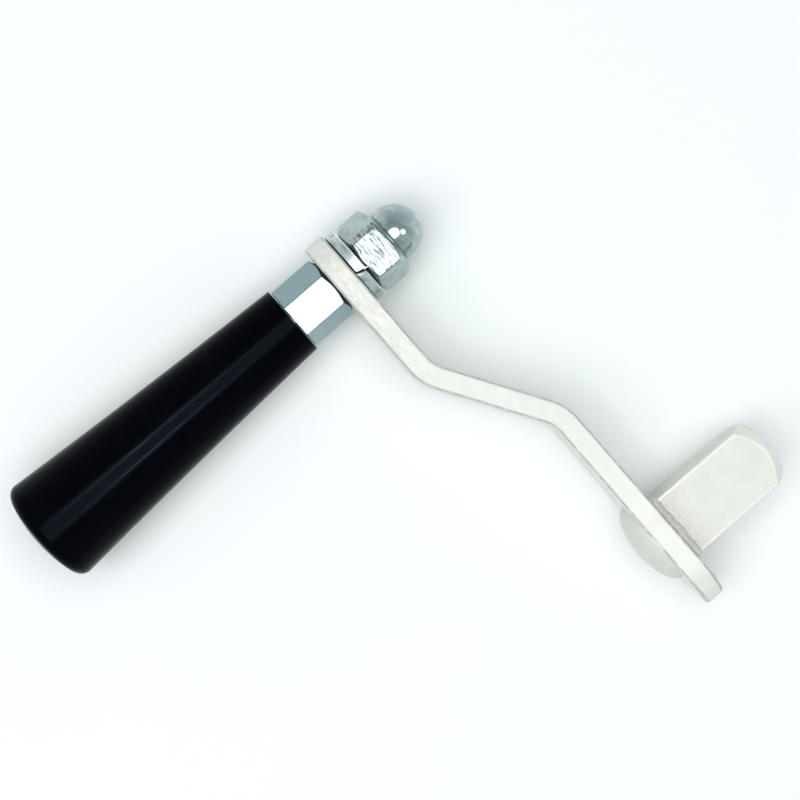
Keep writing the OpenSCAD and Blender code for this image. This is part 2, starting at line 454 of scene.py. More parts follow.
@dataclass(frozen=True)
class ZincFinish:
    """Bright zinc plate on machined faces."""

    name: str = "zinc_plate_finish"
    colour: Colour = (0.265, 0.363, 0.377)
    dull: Colour = (0.23, 0.32, 0.34)
    # the washer uses this colour for its painted shade at the arm
    mark_and_shade: Colour = (0.12, 0.14, 0.15)
    clouding: float = 0.35
    rough: float = 0.17
    dent_depth_mm: float = 0.002
    line_depth_mm: float = 0.0015

    def dressed(self, g: Graph, colour: bpy.types.NodeSocket) -> bpy.types.NodeSocket:
        """What a piece has beyond the plain plate: nothing, on machined faces.

        Args:
            g: the material's graph.
            colour: the plating's colour so far.

        Returns:
            The colour of the finished plate.
        """
        return colour

    def roughness(self, g: Graph, worn: bpy.types.NodeSocket) -> bpy.types.NodeSocket:
        """How rough the plate is.

        Args:
            g: the material's graph.
            worn: the roughness of the turning lines.

        Returns:
            The roughness of the finished plate.
        """
        return worn

    def material(self) -> bpy.types.Material:
        """Builds the plating.

        Returns:
            The material.
        """
        g = Graph(self.name)
        cloud = g.ease(g.grain(2.2, 4.0), 0.38, 0.68)
        colour = g.blend(g.maths("MULTIPLY", cloud, self.clouding), self.colour, self.dull)
        lines = g.grain(0.22, 3.0, 0.6, g.stretched((1.0, 0.12, 1.0)))
        worn = g.ease(lines, 0.3, 0.7, self.rough - 0.04, self.rough + 0.06)
        dented = g.bump(g.grain(0.8, 4.0), self.dent_depth_mm)
        turned = g.bump(lines, self.line_depth_mm, over=dented)
        g.set_shader(Base_Color=self.dressed(g, colour), Metallic=1.0, Roughness=self.roughness(g, worn),
                     Normal=turned)
        return g.material


@dataclass(frozen=True)
class WasherFinish(ZincFinish):
    """Plate on the sprung washer: painted shade where it sits on the arm, and a painted highlight along its
    edge at the nut.
    """

    name: str = "washer_zinc_finish"
    colour: Colour = (0.62, 0.7, 0.7)
    dull: Colour = (0.3, 0.36, 0.37)
    # painted highlight along the washer's edge at the nut
    bright: Colour = (0.95, 0.97, 0.97)
    clouding: float = 0.9
    rough: float = 0.36
    dent_depth_mm: float = 0.02
    arm_y: float = 0.0
    nut_y: float = 0.0
    # width of the painted shade along the washer's edge at the arm
    gap_shade_mm: float = 0.45
    edge_mm: float = 0.35

    def dressed(self, g: Graph, colour: bpy.types.NodeSocket) -> bpy.types.NodeSocket:
        """Paints shade on the edge at the arm and a highlight on the one at the nut.

        Args:
            g: the material's graph.
            colour: the plating's colour so far.

        Returns:
            The colour of the finished plate.
        """
        height = g.along("Y")
        # painted shade where the washer sits on the arm
        painted_gap_shade = g.ease(height, self.arm_y + self.gap_shade_mm * MM, self.arm_y + 0.5 * self.gap_shade_mm * MM)
        colour = g.blend(g.maths("MULTIPLY", painted_gap_shade, 0.9), colour, self.mark_and_shade)
        # painted highlight along the edge at the nut, patchy
        edge = self.edge_mm * MM
        shine = g.ease(height, self.nut_y - 1.5 * edge, self.nut_y - edge)
        patchy = g.ease(g.grain(1.5, 2.0), 0.3, 0.55, 0.4, 0.9)
        return g.blend(g.maths("MULTIPLY", shine, patchy), colour, self.bright)


@dataclass(frozen=True)
class NutFinish(ZincFinish):
    """Plate on the cap nut: plain scuffs on the flats that it lies on, and a polished dome."""

    name: str = "nut_zinc_finish"
    colour: Colour = (0.50, 0.58, 0.58)
    dull: Colour = (0.33, 0.40, 0.405)
    dome: Colour = (0.36, 0.435, 0.44)
    dome_light: Colour = (0.52, 0.60, 0.60)
    mark_and_shade: Colour = (0.03, 0.035, 0.04)
    clouding: float = 0.7
    rough: float = 0.28
    dent_depth_mm: float = 0.02
    polished_rough: float = 0.12
    lain_on_from_mm: float = 6.3
    lain_on_to_mm: float = 6.6
    scuff_strength: float = 0.85
    hex_y: float = 0.0
    hex_h_mm: float = 7.6

    def scuffed(self, g: Graph) -> bpy.types.NodeSocket:
        """Plain scuffs: fine streaks round the nut, most on the flats that it lies on.

        Args:
            g: the material's graph.

        Returns:
            1 on a scuff and 0 elsewhere.
        """
        streaks = g.ease(g.grain(0.34, 3.0, 0.6, g.stretched((0.14, 1.0, 0.14))), 0.42, 0.58)
        patches = g.ease(g.grain(1.7, 3.0), 0.36, 0.56, 0.55, 1.0)
        lain_on = g.ease(g.maths("ABSOLUTE", g.along("Z"), 0.0), self.lain_on_from_mm * MM,
                         self.lain_on_to_mm * MM, 0.1, 1.0)
        return g.maths("MULTIPLY", g.maths("MULTIPLY", streaks, patches), lain_on)

    def on_dome(self, g: Graph) -> bpy.types.NodeSocket:
        """Where the dome is.

        Args:
            g: the material's graph.

        Returns:
            1 on the dome and 0 on the hexagon.
        """
        top = self.hex_y + self.hex_h_mm * MM
        return g.ease(g.along("Y"), top + 0.05 * MM, top + 0.3 * MM)

    def dressed(self, g: Graph, colour: bpy.types.NodeSocket) -> bpy.types.NodeSocket:
        """Lays the scuffs and small dents, and mottles the dome.

        Args:
            g: the material's graph.
            colour: the plating's colour so far.

        Returns:
            The colour of the finished plate.
        """
        dents = g.maths("MULTIPLY", g.ease(g.grain(0.5, 3.0, 0.6), 0.57, 0.63), 0.25)
        marks = g.maths("MULTIPLY", g.maths("MAXIMUM", self.scuffed(g), dents), self.scuff_strength)
        colour = g.blend(marks, colour, self.mark_and_shade)
        mottled = g.blend(g.ease(g.grain(2.6, 4.0, 0.6), 0.46, 0.66), self.dome, self.dome_light)
        return g.blend(self.on_dome(g), colour, mottled)

    def roughness(self, g: Graph, worn: bpy.types.NodeSocket) -> bpy.types.NodeSocket:
        """The dome is polished and the hexagon isn't.

        Args:
            g: the material's graph.
            worn: the roughness of the turning lines.

        Returns:
            The roughness of the finished plate.
        """
        polish = g.maths("MULTIPLY", self.on_dome(g), self.rough - self.polished_rough)
        return g.maths("SUBTRACT", worn, polish)


@dataclass(frozen=True)
class PhenolicFinish:
    """Polished black moulding with fine rubbing marks."""

    name: str = "black_phenolic_finish"
    colour: Colour = (0.0008, 0.0008, 0.0018)
    rubbed: Colour = (0.002, 0.0024, 0.004)
    dust: Colour = (0.6, 0.6, 0.6)
    tint: Colour = (0.5, 0.78, 1.0)
    rough: float = 0.13
    specular: float = 0.033
    swell_depth_mm: float = 0.01
    rubbing_depth_mm: float = 0.0012

    def material(self) -> bpy.types.Material:
        """Builds the moulding.

        Returns:
            The material.
        """
        g = Graph(self.name)
        cloud = g.ease(g.grain(9.0, 3.0), 0.4, 0.7)
        rubbing = g.grain(0.3, 3.0, 0.6, g.stretched((1.0, 0.06, 1.0)))
        colour = g.blend(g.maths("MULTIPLY", cloud, g.ease(rubbing, 0.4, 0.65)), self.colour, self.rubbed)
        dust = g.ease(g.cells(2.1), 0.035, 0.02)
        colour = g.blend(g.maths("MULTIPLY", dust, 0.05), colour, self.dust)
        rough = g.ease(rubbing, 0.35, 0.7, self.rough, self.rough + 0.07)
        swell = g.bump(g.grain(5.0, 1.0), self.swell_depth_mm)
        normal = g.bump(rubbing, self.rubbing_depth_mm, over=swell)
        g.set_shader(Base_Color=colour, Roughness=rough, Normal=normal,
                     Specular_IOR_Level=self.specular, Specular_Tint=self.tint)
        return g.material


@dataclass(frozen=True)
class SpringSteelFinish:
    """Dark oiled spring steel."""

    name: str = "spring_steel_finish"
    colour: Colour = (0.11, 0.11, 0.12)
    bright: Colour = (0.3, 0.3, 0.31)
    rough: float = 0.34
    grain_depth_mm: float = 0.004

    def material(self) -> bpy.types.Material:
        """Builds the steel.

        Returns:
            The material.
        """
        g = Graph(self.name)
        wear = g.ease(g.grain(1.2, 4.0), 0.5, 0.7)
        colour = g.blend(wear, self.colour, self.bright)
        rough = g.ease(g.grain(0.5), 0.3, 0.7, self.rough - 0.06, self.rough + 0.08)
        g.set_shader(Base_Color=colour, Metallic=1.0, Roughness=rough,
                     Normal=g.bump(g.grain(0.3, 2.0), self.grain_depth_mm))
        return g.material


# --------------------------------------------------------------------------- shapes


def basis(x: Vector, y: Vector, z: Vector, origin: Vector) -> Matrix:
    """A matrix that carries the axes onto three directions and the origin onto a point.

    Args:
        x: where X goes.
        y: where Y goes.
        z: where Z goes.
        origin: where the origin goes.

    Returns:
        The matrix.
    """
    turned = Matrix((x, y, z)).transposed().to_4x4()
    turned.translation = origin
    return turned


def lathe(profile: Profile, steps: int = 96) -> bmesh.types.BMesh:
    """Turns a closed outline round the Z axis.

    Args:
        profile: corners as (radius, height), anticlockwise; a radius of 0 is on the axis.
        steps: the number of flat facets round the turn.

    Returns:
        The closed shape, with its normals outwards.
    """
    bm = bmesh.new()
    corners = [bm.verts.new((radius, 0.0, height)) for radius, height in profile]
    on_axis = [radius == 0.0 for radius, _ in profile]
    count = len(corners)
    edges = [
        bm.edges.new((corners[i], corners[(i + 1) % count]))
        for i in range(count)
        if not (on_axis[i] and on_axis[(i + 1) % count])
    ]
    bmesh.ops.spin(bm, geom=corners + edges, cent=(0, 0, 0), axis=(0, 0, 1), dvec=(0, 0, 0),
                   angle=TURN, steps=steps, use_merge=True, use_duplicate=False)
    return closed(bm)


def closed(bm: bmesh.types.BMesh) -> bmesh.types.BMesh:
    """Merges doubles and turns the normals outwards.

    Args:
        bm: the shape.

    Returns:
        The same shape.
    """
    bmesh.ops.remove_doubles(bm, verts=bm.verts[:], dist=WELD_DISTANCE)
    bmesh.ops.recalc_face_normals(bm, faces=bm.faces[:])
    return bm


def box(lo: tuple[float, float, float], hi: tuple[float, float, float]) -> bmesh.types.BMesh:
    """A block between two corners.

    Args:
        lo: the lowest corner.
        hi: the highest corner.

    Returns:
        The block.
    """
    bm = bmesh.new()
    low, high = Vector(lo), Vector(hi)
    place = Matrix.Translation((low + high) / 2) @ Matrix.Diagonal((*(high - low), 1.0))
    bmesh.ops.create_cube(bm, size=1.0, matrix=place)
    return bm


def scratch(bm: bmesh.types.BMesh) -> bpy.types.Object:
    """Puts a shape in a scratch object, and frees the shape.

    Args:
        bm: the shape.

    Returns:
        The scratch object, linked to the scene.
    """
    mesh = bpy.data.meshes.new("scratch")
    bm.to_mesh(mesh)
    bm.free()
    holder = bpy.data.objects.new("scratch", mesh)
    bpy.context.scene.collection.objects.link(holder)
    return holder


def combine(base: bmesh.types.BMesh, tool: bmesh.types.BMesh, how: Cut) -> bmesh.types.BMesh:
    """Joins two closed shapes, cuts one from the other, or keeps what they share.

    Args:
        base: the shape that is worked on.
        tool: the shape that works on it.
        how: the kind of combination.

    Returns:
        The new shape; both given shapes are used up.
    """
    host, other = scratch(base), scratch(tool)
    modifier = host.modifiers.new("combine", "BOOLEAN")
    modifier.operation = how.value
    modifier.solver = "EXACT"
    modifier.object = other
    result = bmesh.new()
    result.from_object(host, bpy.context.evaluated_depsgraph_get())
    for holder in (host, other):
        mesh = holder.data
        bpy.data.objects.remove(holder)
        bpy.data.meshes.remove(mesh)
    bmesh.ops.dissolve_degenerate(result, edges=result.edges[:], dist=WELD_DISTANCE)
    return result


def arc(centre: tuple[float, float], radius: float, start: float, end: float, steps: int) -> Profile:
    """Points along an arc in the plane of a profile.

    Args:
        centre: the arc's centre as (radius, height).
        radius: the arc's own radius.
        start: the first angle in degrees, from the outward direction.
        end: the last angle in degrees.
        steps: the number of chords.

    Returns:
        The points, both ends included.
    """
    angles = [math.radians(start + (end - start) * i / steps) for i in range(steps + 1)]
    return [(centre[0] + radius * math.cos(a), centre[1] + radius * math.sin(a)) for a in angles]


def chamfered_hex(across: float, height: float, turn: float, face_share: float,
                  far_end: bool) -> bmesh.types.BMesh:
    """A hexagonal prism with turned 30 degree chamfers, standing on the XY plane.

    Args:
        across: the width across the flats.
        height: the height of the prism.
        turn: how far its corner is turned from +X, in degrees.
        face_share: the diameter of the turned end face as a share of the width.
        far_end: whether the top is chamfered as well.

    Returns:
        The prism.
    """
    corner = across / 2 / math.cos(HEX_CHAMFER)
    face = across / 2 * face_share
    rise = (corner - face) * math.tan(HEX_CHAMFER)
    spare = corner * 1.02
    spare_rise = (spare - face) * math.tan(HEX_CHAMFER)
    prism = bmesh.new()
    place = Matrix.Rotation(math.radians(30 + turn), 4, "Z") @ Matrix.Translation((0, 0, height / 2))
    bmesh.ops.create_cone(prism, cap_ends=True, segments=6, radius1=corner, radius2=corner,
                          depth=height, matrix=place)
    top: Profile = [(spare, height - spare_rise), (face, height)] if far_end else [(spare, height + rise)]
    end = height if far_end else height + rise
    turned = lathe([(0.0, 0.0), (face, 0.0), (spare, spare_rise), *top, (0.0, end)], steps=120)
    return combine(prism, turned, Cut.KEEP_COMMON)


def round_edges(bm: bmesh.types.BMesh, width_mm: float, segments: int, sharp_from: float = 30.0) -> None:
    """Rounds the sharp edges.

    Args:
        bm: the shape.
        width_mm: the width of the rounding.
        segments: the number of facets round it.
        sharp_from: the angle in degrees past which an edge is sharp.
    """
    limit = math.radians(sharp_from)
    sharp = [e for e in bm.edges if len(e.link_faces) == 2 and e.calc_face_angle() > limit]
    bmesh.ops.bevel(bm, geom=sharp, offset=width_mm * MM, offset_type="OFFSET", segments=segments,
                    profile=0.5, affect="EDGES", clamp_overlap=False, material=-1)


def make_piece(bm: bmesh.types.BMesh, name: str, place: Matrix, bevel_mm: float = 0.0,
               segments: int = 3, smooth_from: float = 30.0, levels: int = 0) -> bpy.types.Object:
    """Puts a finished shape in its object, with its place in its mesh.

    Args:
        bm: the shape, which is used up.
        name: the piece's name.
        place: where the shape goes in the row's frame.
        bevel_mm: how much its sharp edges are rounded.
        segments: the number of facets round each rounded edge.
        smooth_from: the angle in degrees past which an edge is sharp.
        levels: how often it is subdivided, or 0 for a piece with plain faces.

    Returns:
        The object.
    """
    bm.transform(place)
    if place.determinant() < 0:
        bmesh.ops.reverse_faces(bm, faces=bm.faces[:])
    open_edges = sum(1 for edge in bm.edges if not edge.is_manifold)
    for face in bm.faces:
        face.smooth = True
    for edge in bm.edges:
        edge.smooth = len(edge.link_faces) == 2 and edge.calc_face_angle() < math.radians(smooth_from)
    mesh = bpy.data.meshes.new(name)
    bm.to_mesh(mesh)
    bm.free()
    piece = bpy.data.objects.new(name, mesh)
    bpy.context.scene.collection.objects.link(piece)
    if bevel_mm:
        bevel = piece.modifiers.new("rounded_edges", "BEVEL")
        bevel.width = bevel_mm * MM
        bevel.segments = segments
        bevel.limit_method = "ANGLE"
        bevel.angle_limit = math.radians(smooth_from)
        bevel.use_clamp_overlap = False
        bevel.miter_outer = "MITER_ARC"
    if not levels:
        evened = piece.modifiers.new("even_shading", "WEIGHTED_NORMAL")
        evened.keep_sharp = True
    else:
        smoothing = piece.modifiers.new("smoothing", "SUBSURF")
        smoothing.levels = smoothing.render_levels = levels
    LOG.info("%s: %d faces, %d open edges", name, len(mesh.polygons), open_edges)
    return piece


def dress(piece: bpy.types.Object, material: bpy.types.Material, body: Body, slot: Slot,
          *nodes: str) -> bpy.types.Object:
    """Gives a piece its material and body, and hides the CAD nodes that it stands for.

    Args:
        piece: the piece.
        material: its finish.
        body: the body that it rides on.
        slot: the record's slot; not used.
        nodes: the CAD nodes that it replaces.

    Returns:
        The same piece.
    """
    piece.data.materials.clear()
    piece.data.materials.append(material)
    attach(piece, body.value)
    if nodes:
        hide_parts(*nodes)
    return piece


# --------------------------------------------------------------------------- the layout


@dataclass
class Layout:
    """Places that the sub-assemblies share, read from the frame's boxes."""

    bar_w: float = field(init=False)
    bar_t: float = field(init=False)
    jog: float = field(init=False)
    grip_x: float = field(init=False)
    tip_x: float = field(init=False)
    arm_front_y: float = field(init=False)
    arm_back_y: float = field(init=False)
    on_grip_axis: Matrix = field(init=False)
    on_nut_axis: Matrix = field(init=False)
    on_shank_axis: Matrix = field(init=False)

    def __post_init__(self) -> None:
        """Reads the boxes and lays out the axes."""
        arm_lo, arm_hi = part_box("arm")
        washer_lo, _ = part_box("lock_washer")
        self.bar_w = arm_hi.z - arm_lo.z
        self.bar_t = washer_lo.y - arm_lo.y
        self.jog = arm_hi.y - washer_lo.y
        self.grip_x = arm_lo.x + self.bar_w / 2
        self.tip_x = arm_hi.x
        self.arm_front_y = washer_lo.y
        self.arm_back_y = arm_lo.y
        x, y, z = Vector((1, 0, 0)), Vector((0, 1, 0)), Vector((0, 0, 1))
        self.on_grip_axis = basis(x, z, -y, Vector((self.grip_x, self.arm_back_y, 0)))
        self.on_nut_axis = basis(x, -z, y, Vector((self.grip_x, self.arm_front_y, 0)))
        self.on_shank_axis = basis(x, -z, y, Vector((0, 0, 0)))


# --------------------------------------------------------------------------- sub-assemblies


@dataclass
class ArmBar:
    """The joggled flat bar with full-round ends, drilled at both of them.

    It is made as it is in a shop: a flat blank is cut, drilled and rounded, then pressed to shape.
    """

    layout: Layout
    lead_mm: float = 27.2
    jog_angle: float = 32.1
    bend_inside_mm: float = 7.5
    bolt_hole_mm: float = 9.9
    tenon_mm: float = 11.1
    edge_mm: float = 0.55
    tip_wear: float = 0.9
    bend_steps: int = 14
    end_steps: int = 48
    bend_r: float = field(init=False)
    first: float = field(init=False)
    slope: float = field(init=False)
    length: float = field(init=False)
    shank_at: float = field(init=False)

    def __post_init__(self) -> None:
        """Works out the lengths along the bar's middle line, from the grip axis."""
        at = self.layout
        angle = math.radians(self.jog_angle)
        self.bend_r = self.bend_inside_mm * MM + at.bar_t / 2
        reach = self.bend_r * math.tan(angle / 2)
        self.slope = at.jog / math.sin(angle) - 2 * reach
        self.first = self.lead_mm * MM - reach
        bends_end_x = at.grip_x + self.first + 2 * reach + (self.slope + 2 * reach) * math.cos(angle)
        bends_end = self.first + self.slope + 2 * self.bend_r * angle
        self.length = bends_end + at.tip_x - at.bar_w / 2 - bends_end_x
        self.shank_at = bends_end - bends_end_x

    def blank(self) -> bmesh.types.BMesh:
        """Cuts, drills and rounds the flat blank.

        Returns:
            The blank, with its length along X from the grip axis and its thickness along Z.
        """
        radius = self.layout.bar_w / 2
        bm = bmesh.new()
        outline = []
        for centre, start in ((self.length, -90.0), (0.0, 90.0)):
            angles = [math.radians(start + 180.0 * i / self.end_steps) for i in range(self.end_steps + 1)]
            outline += [(centre + radius * math.cos(a), radius * math.sin(a)) for a in angles]
        half = self.layout.bar_t / 2
        end = [bm.faces.new([bm.verts.new((x, y, -half)) for x, y in outline])]
        self.lift(bm, end, 2 * half)
        closed(bm)
        for x, diameter in ((0.0, self.bolt_hole_mm), (self.shank_at, self.tenon_mm)):
            r, past = diameter / 2 * MM, 2 * half
            drill = lathe([(0.0, -past), (r, -past), (r, past), (0.0, past)], steps=64)
            drill.transform(Matrix.Translation((x, 0, 0)))
            bm = combine(bm, drill, Cut.REMOVE)
        round_edges(bm, self.edge_mm, 4)
        return bm

    @staticmethod
    def lift(bm: bmesh.types.BMesh, faces: list[bmesh.types.BMFace], height: float) -> None:
        """Extrudes faces straight up.

        Args:
            bm: the shape.
            faces: the faces.
            height: how far they go.
        """
        made = bmesh.ops.extrude_face_region(bm, geom=faces, use_keep_orig=True)["geom"]
        verts = [item for item in made if isinstance(item, bmesh.types.BMVert)]
        bmesh.ops.translate(bm, verts=verts, vec=(0, 0, height))

    def wear(self, bm: bmesh.types.BMesh) -> None:
        """Marks the roundings, where the material paints shade on the arm's edges, and widens them towards
        the tip.

        Args:
            bm: the blank.
        """
        layer = bm.verts.layers.float.new(EDGE_LAYER)
        half, radius, edge = self.layout.bar_t / 2, self.layout.bar_w / 2, self.edge_mm * MM
        near = 0.01 * MM
        for vert in bm.verts:
            depth = half - abs(vert.co.z)
            vert[layer] = float(near < depth < edge - near)
            out = Vector((vert.co.x - self.length, vert.co.y, 0))
            inset = radius - out.length
            if out.x > 0 and depth < edge + near and inset < edge + near:
                more = self.tip_wear * (out.x / out.length) ** 2
                out.normalize()
                vert.co -= out * inset * more
                vert.co.z -= math.copysign(depth * more, vert.co.z)

    def press(self, bm: bmesh.types.BMesh) -> None:
        """Bends the blank to the joggle, upright in the row's frame.

        Args:
            bm: the blank.
        """
        turn = math.radians(self.jog_angle)
        bend = self.bend_r * turn
        starts = (self.first, self.first + bend + self.slope)
        for start in starts:
            for i in range(self.bend_steps + 1):
                where = Vector((start + bend * i / self.bend_steps, 0, 0))
                bmesh.ops.bisect_plane(bm, geom=[*bm.verts, *bm.edges, *bm.faces], dist=0.0001 * MM,
                                       plane_co=where, plane_no=(1, 0, 0))
        corner = Vector((self.layout.grip_x, self.layout.arm_front_y - self.layout.bar_t / 2, 0))
        for vert in bm.verts:
            place, heading = self.middle_line(vert.co.x, turn, starts)
            front = Vector((-heading.y, heading.x, 0))
            vert.co = corner + place + front * vert.co.z + Vector((0, 0, vert.co.y))

    def middle_line(self, along: float, turn: float, starts: tuple[float, float]) -> tuple[Vector, Vector]:
        """A point on the bar's middle line.

        Args:
            along: its distance from the grip axis, measured along the line.
            turn: the angle of each bend in radians.
            starts: where the bends start.

        Returns:
            The point and the line's direction there.
        """
        place, heading, reached = Vector((0, 0, 0)), Vector((1, 0, 0)), 0.0
        for start, side in zip(starts, (1, -1)):
            place += heading * (min(along, start) - reached)
            reached = start
            if along <= start:
                return place, heading
            angle = min((along - start) / self.bend_r, turn)
            centre = place + Vector((-heading.y, heading.x, 0)) * side * self.bend_r
            swing = Matrix.Rotation(side * angle, 3, "Z")
            place = centre + swing @ (place - centre)
            heading = swing @ heading
            reached += angle * self.bend_r
            if angle < turn:
                return place, heading
        return place + heading * (along - reached), heading

    def build(self) -> bpy.types.Object:
        """Makes the arm.

        Returns:
            The arm's object.
        """
        bm = self.blank()
        self.wear(bm)
        self.press(bm)
        bmesh.ops.recalc_face_normals(bm, faces=bm.faces[:])
        return make_piece(bm, "arm_bar", Matrix.Identity(4))


@dataclass
class DriveShank:
    """The square shank with its turned chamfer, its tenon and the riveted head."""

    layout: Layout
    chamfer_mm: float = 0.85
    tenon_mm: float = 11.08
    head_h_mm: float = 4.0
    seam_mm: float = 0.5
    edge_mm: float = 0.5
    corner_mm: float = 0.22
    tenon_lap_mm: float = 1.0
    hammer_mm: float = 0.09
    hammer_size_mm: float = 3.2
    hammer_sideways: float = 0.5
    across: float = field(init=False)
    length: float = field(init=False)
    head_r: float = field(init=False)

    def __post_init__(self) -> None:
        """Reads the shank's width, length and head from the frame."""
        lo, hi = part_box("drive_shank")
        weld_lo, weld_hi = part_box("shank_weld")
        self.across = (weld_hi.z - weld_lo.z) - 2 * (weld_hi.y - weld_lo.y)
        self.length = hi.y
        self.head_r = (hi.x - lo.x) / 2

    def square_bar(self) -> bmesh.types.BMesh:
        """The square part with rounded long edges and the turned chamfer on its end.

        Returns:
            The square part along +Z.
        """
        half = self.across / 2
        bar = box((-half, -half, 0.0), (half, half, self.length))
        long_edges = [e for e in bar.edges if abs((e.verts[0].co - e.verts[1].co).z) > half]
        bmesh.ops.bevel(bar, geom=long_edges, offset=self.edge_mm * MM, offset_type="OFFSET",
                        segments=4, profile=0.5, affect="EDGES", material=-1)
        corner = half * 1.5
        end = half - self.chamfer_mm * MM
        foot = -self.tenon_lap_mm * MM
        turned = lathe([(0.0, foot), (corner, foot), (corner, self.length - (corner - end)),
                        (end, self.length), (0.0, self.length)], steps=120)
        return combine(bar, turned, Cut.KEEP_COMMON)

    def head(self) -> bmesh.types.BMesh:
        """The tenon and the head that was hammered over behind the arm, its seam filled with paint.

        Returns:
            Both as one turned shape.
        """
        back = -self.layout.bar_t
        tenon = self.tenon_mm / 2 * MM
        height = self.head_h_mm * MM
        seam = back + self.seam_mm * MM
        lap = self.tenon_lap_mm * MM
        dome = [(self.head_r * math.cos(a), back - height * math.sin(a))
                for a in (QUARTER * i / RIVET_STEPS for i in range(RIVET_STEPS))]
        return lathe([(0.0, back - height), *reversed(dome), (self.head_r, seam), (tenon, seam),
                      (tenon, lap), (0.0, lap)], steps=120)

    def build(self) -> bpy.types.Object:
        """Makes the shank.

        Returns:
            The shank's object.
        """
        whole = combine(self.square_bar(), self.head(), Cut.JOIN)
        head_from = -self.layout.bar_t - 0.2 * MM
        for vert in whole.verts:
            if vert.co.z < head_from:
                ripple = noise.noise(vert.co / (self.hammer_size_mm * MM)) * self.hammer_mm * MM
                vert.co += Vector((vert.co.x, vert.co.y, 0)).normalized() * ripple * self.hammer_sideways
                vert.co.z += abs(ripple)
        return make_piece(whole, "drive_shank_bar", self.layout.on_shank_axis, self.corner_mm,
                          smooth_from=25.0)


@dataclass
class WeldBead:
    """The lumpy fillet weld round the shank's foot."""

    layout: Layout
    shank: DriveShank
    corner_mm: float = 0.6
    bite_mm: float = 0.3
    side_steps: int = 16
    corner_steps: int = 5
    bulge: float = 0.16
    section_steps: int = 6
    leg_share: float = 0.93
    mean_size: float = 0.86
    lump_mm: float = 1.7
    lump_share: float = 0.22
    ripple_mm: float = 0.8
    ripple_share: float = 0.1
    root_mm: float = 0.05
    leg: float = field(init=False)
    narrow: float = field(init=False)

    def __post_init__(self) -> None:
        """Reads the weld's leg, and how narrow it is on two sides, from the frame."""
        lo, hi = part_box("shank_weld")
        self.leg = hi.y - lo.y
        self.narrow = ((hi.x - lo.x) - self.shank.across) / 2 / self.leg

    def section(self) -> Profile:
        """The bead's section, outwards from the flat and upwards from the arm.

        Returns:
            The corners in order.
        """
        leg, bite = self.leg * self.leg_share, self.bite_mm * MM
        slope = []
        for i in range(self.section_steps + 1):
            t = i / self.section_steps
            swell = self.bulge * leg * math.sin(math.pi * t)
            slope.append((leg * (1 - t) + swell * 0.7, leg * t + swell * 0.7))
        return [(-bite, 0.0), *slope, (-bite, leg)]

    def build(self) -> bpy.types.Object:
        """Makes the weld.

        Returns:
            The weld's object.
        """
        flat = self.shank.across / 2
        corner = self.corner_mm * MM
        pivot = flat - corner
        bm = bmesh.new()
        verts = [bm.verts.new((flat + out, -pivot, up)) for out, up in self.section()]
        end = [bm.faces.new(verts)]
        for side in range(4):
            turn = Matrix.Rotation(side * QUARTER, 3, "Z")
            for _ in range(self.side_steps):
                end = self.run(bm, end, turn @ Vector((0, 2 * pivot / self.side_steps, 0)))
            made = bmesh.ops.spin(bm, geom=end, cent=turn @ Vector((pivot, pivot, 0)), axis=(0, 0, 1),
                                  dvec=(0, 0, 0), angle=QUARTER, steps=self.corner_steps,
                                  use_duplicate=False)
            end = [item for item in made["geom_last"] if isinstance(item, bmesh.types.BMFace)]
        bmesh.ops.delete(bm, geom=[*end, *(f for f in bm.faces if len(f.verts) > 4 and f not in end)],
                         context="FACES_ONLY")
        closed(bm)
        self.ripple(bm)
        return make_piece(bm, "shank_weld_bead", self.layout.on_shank_axis, smooth_from=60.0, levels=2)

    @staticmethod
    def run(bm: bmesh.types.BMesh, end: list[bmesh.types.BMFace], step: Vector) -> list:
        """Extrudes the end face straight on.

        Args:
            bm: the bead so far.
            end: its end face.
            step: how far and which way it goes.

        Returns:
            The new end face.
        """
        made = bmesh.ops.extrude_face_region(bm, geom=end)["geom"]
        verts = [item for item in made if isinstance(item, bmesh.types.BMVert)]
        bmesh.ops.translate(bm, verts=verts, vec=step)
        return [item for item in made if isinstance(item, bmesh.types.BMFace)]

    def ripple(self, bm: bmesh.types.BMesh) -> None:
        """Lays ripples and lumps over the bead's sloping face, and draws it in on two sides.

        Args:
            bm: the bead.
        """
        flat, root = self.shank.across / 2, self.root_mm * MM
        for vert in bm.verts:
            out = max(abs(vert.co.x), abs(vert.co.y)) - flat
            if out < root and vert.co.z < root:
                continue
            lump = noise.noise(vert.co / (self.lump_mm * MM)) * self.lump_share
            size = self.mean_size + lump + noise.noise(vert.co / (self.ripple_mm * MM)) * self.ripple_share
            height = vert.co.z
            vert.co += Vector((vert.co.x, vert.co.y, 0)).normalized() * out * (size - 1)
            vert.co.z = height * size
            past = abs(vert.co.x) - flat
            if past > 0:
                vert.co.x -= math.copysign(past * (1 - self.narrow), vert.co.x)


